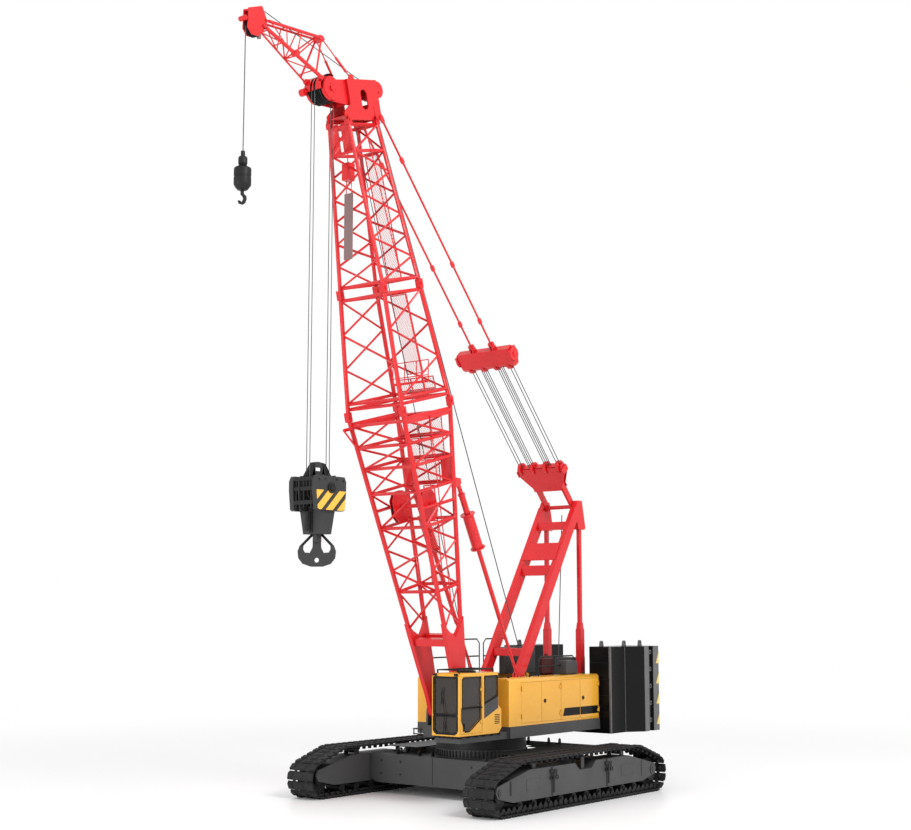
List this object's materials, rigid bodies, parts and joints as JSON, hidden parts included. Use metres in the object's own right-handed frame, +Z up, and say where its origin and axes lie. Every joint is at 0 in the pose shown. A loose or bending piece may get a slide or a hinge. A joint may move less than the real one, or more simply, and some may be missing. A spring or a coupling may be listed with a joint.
{
  "type": "crawler crane",
  "caption": "Crawler crane with a lattice boom, short fixed jib, main and auxiliary hook blocks, cab, machinery houses and stacked counterweight on two crawler tracks.",
  "frame": {"origin": "on the ground, under the swing axis", "axes": "+Z up; the boom points to -Y; the cab is on the +X side"},
  "size_m": [7, 15.4983, 19.93],
  "materials": {
    "frame_grey": "semi gloss",
    "track_steel": "satin, dusty",
    "bright_steel": "greased",
    "house_yellow": "gloss",
    "boom_red": "gloss",
    "catwalk_red": "open mesh",
    "engine_grey": "satin",
    "cab_window": "tinted",
    "seat_fabric": "woven",
    "sheave_iron": "greased",
    "hook_iron": "forged"
  },
  "bodies": {
    "undercarriage": {"carbody": "frame_grey", "carbody_lugs": "frame_grey", "slewing_ring": "bright_steel", "side_frame_left": "track_steel", "side_frame_right": "track_steel", "track_left": "track_steel", "track_right": "track_steel", "track_wheels_left": "track_steel", "track_wheels_right": "track_steel"},
    "upper": {"upper_frame": "frame_grey", "counterweight_tray": "frame_grey", "counterweight_left": "frame_grey", "counterweight_right": "frame_grey", "counterweight_fittings": "bright_steel", "house_left": "house_yellow", "house_right": "house_yellow", "engine_block": "engine_grey", "cab_shell": "house_yellow", "cab_glass": "cab_window", "cab_seat": "seat_fabric", "cab_guard": "house_yellow", "gantry_legs": "boom_red", "gantry_masts": "boom_red", "backstop_brackets": "boom_red", "hoist_winches": "bright_steel", "rear_winches": "bright_steel", "railings": "house_yellow", "deck_box": "engine_grey"},
    "cab_door": {"cab_door": "house_yellow", "cab_door_glass": "cab_window"},
    "boom": {"boom_base": "boom_red", "boom_middle": "boom_red", "boom_top": "boom_red", "boom_head": "boom_red", "boom_sheaves": "sheave_iron", "catwalk": "catwalk_red", "jib": "boom_red", "jib_sheave": "sheave_iron"},
    "backstop_tubes": {"backstop_tubes": "boom_red"},
    "backstop_rods": {"backstop_rods": "bright_steel"},
    "gantry_block": {"gantry_block": "boom_red"},
    "bridle": {"bridle_block": "boom_red"},
    "pendants": {"pendants": "boom_red"},
    "main_line": {"main_falls": "bright_steel"},
    "main_block": {"main_block": "frame_grey"},
    "main_hook": {"main_hook": "hook_iron"},
    "aux_line": {"aux_fall": "bright_steel"},
    "aux_block": {"aux_block": "frame_grey"},
    "aux_hook": {"aux_hook": "hook_iron"},
    "house_door_left_1": {"house_door_left_1": "house_yellow"},
    "house_door_left_2": {"house_door_left_2": "house_yellow"},
    "house_door_left_3": {"house_door_left_3": "house_yellow"},
    "house_door_left_4": {"house_door_left_4": "house_yellow"},
    "house_door_right_1": {"house_door_right_1": "house_yellow"},
    "house_door_right_2": {"house_door_right_2": "house_yellow"},
    "house_door_right_3": {"house_door_right_3": "house_yellow"},
    "house_door_right_4": {"house_door_right_4": "house_yellow"}
  },
  "joints": [
    {"name": "swing", "type": "hinge", "parent": "undercarriage", "child": "upper", "pos_m": [0, 0, 1.29], "axis": [0, 0, 1], "continuous": true},
    {"name": "cab_door_hinge", "type": "hinge", "parent": "upper", "child": "cab_door", "pos_m": [1.618, -2.044, 2.6], "axis": [0, 0, 1], "range_deg": [0, 90]},
    {"name": "house_door_left_1_hinge", "type": "hinge", "parent": "upper", "child": "house_door_left_1", "pos_m": [1.618, -0.284, 2.56], "axis": [0, 0, -1], "range_deg": [0, 85]},
    {"name": "house_door_right_1_hinge", "type": "hinge", "parent": "upper", "child": "house_door_right_1", "pos_m": [-1.618, -0.284, 2.56], "axis": [0, 0, 1], "range_deg": [0, 85]},
    {"name": "house_door_left_2_hinge", "type": "hinge", "parent": "upper", "child": "house_door_left_2", "pos_m": [1.618, 1.604, 2.56], "axis": [0, 0, 1], "range_deg": [0, 85]},
    {"name": "house_door_right_2_hinge", "type": "hinge", "parent": "upper", "child": "house_door_right_2", "pos_m": [-1.618, 1.604, 2.56], "axis": [0, 0, -1], "range_deg": [0, 85]},
    {"name": "house_door_left_3_hinge", "type": "hinge", "parent": "upper", "child": "house_door_left_3", "pos_m": [1.618, 1.636, 2.56], "axis": [0, 0, -1], "range_deg": [0, 85]},
    {"name": "house_door_right_3_hinge", "type": "hinge", "parent": "upper", "child": "house_door_right_3", "pos_m": [-1.618, 1.636, 2.56], "axis": [0, 0, 1], "range_deg": [0, 85]},
    {"name": "house_door_left_4_hinge", "type": "hinge", "parent": "upper", "child": "house_door_left_4", "pos_m": [1.618, 3.544, 2.56], "axis": [0, 0, 1], "range_deg": [0, 85]},
    {"name": "house_door_right_4_hinge", "type": "hinge", "parent": "upper", "child": "house_door_right_4", "pos_m": [-1.618, 3.544, 2.56], "axis": [0, 0, -1], "range_deg": [0, 85]},
    {"name": "luff", "type": "hinge", "parent": "upper", "child": "boom", "pos_m": [0, -1.464, 2.333], "axis": [-1, 0, 0], "range_deg": [-45.34, 4]},
    {"name": "backstop_pin", "type": "hinge", "parent": "boom", "child": "backstop_tubes", "pos_m": [0, -2.06752, 8.53207], "axis": [-1, 0, 0], "range_deg": [-1.03, 6.49]},
    {"name": "backstop_slide", "type": "slide", "parent": "backstop_tubes", "child": "backstop_rods", "axis": [0, 0.4548, -0.8906], "range_m": [-0.1527, 1.6274]},
    {"name": "gantry_block_pin", "type": "hinge", "parent": "upper", "child": "gantry_block", "pos_m": [0, 4, 8.2], "axis": [-1, 0, 0], "range_deg": [-40.4, 4.02]},
    {"name": "bridle_run", "type": "slide", "parent": "gantry_block", "child": "bridle", "axis": [0, -0.6632, 0.7484], "range_m": [-0.5385, 6.0011]},
    {"name": "pendant_pin", "type": "hinge", "parent": "boom", "child": "pendants", "pos_m": [0, -4.80129, 18.13276], "axis": [-1, 0, 0], "range_deg": [-0.98, 5.94]},
    {"name": "main_line_hang", "type": "hinge", "parent": "boom", "child": "main_line", "pos_m": [0, -6.68666, 18.42512], "axis": [-1, 0, 0], "range_deg": [-4.5, 45.84]},
    {"name": "main_hoist", "type": "slide", "parent": "main_line", "child": "main_block", "axis": [0, 0, -1], "range_m": [-8, 6], "deforming": ["main_falls"]},
    {"name": "main_hook_swivel", "type": "hinge", "parent": "main_block", "child": "main_hook", "pos_m": [0, -6.68666, 6.9], "axis": [0, 0, 1], "continuous": true},
    {"name": "aux_line_hang", "type": "hinge", "parent": "boom", "child": "aux_line", "pos_m": [0, -9.22, 19.29], "axis": [-1, 0, 0], "range_deg": [-4.5, 45.84]},
    {"name": "aux_hoist", "type": "slide", "parent": "aux_line", "child": "aux_block", "axis": [0, 0, -1], "range_m": [-2, 14.4], "deforming": ["aux_fall"]},
    {"name": "aux_hook_swivel", "type": "hinge", "parent": "aux_block", "child": "aux_hook", "pos_m": [0, -9.4333, 15], "axis": [0, 0, 1], "continuous": true}
  ],
  "couplings": [
    {"joint": "backstop_pin", "follows": "luff", "ratio": -0.13216},
    {"joint": "backstop_slide", "follows": "luff", "m_per_rad": -2.0439},
    {"joint": "gantry_block_pin", "follows": "luff", "ratio": 0.88008},
    {"joint": "bridle_run", "follows": "luff", "m_per_rad": -7.5709},
    {"joint": "pendant_pin", "follows": "luff", "ratio": -0.11992},
    {"joint": "main_line_hang", "follows": "luff", "ratio": -1},
    {"joint": "aux_line_hang", "follows": "luff", "ratio": -1}
  ]
}
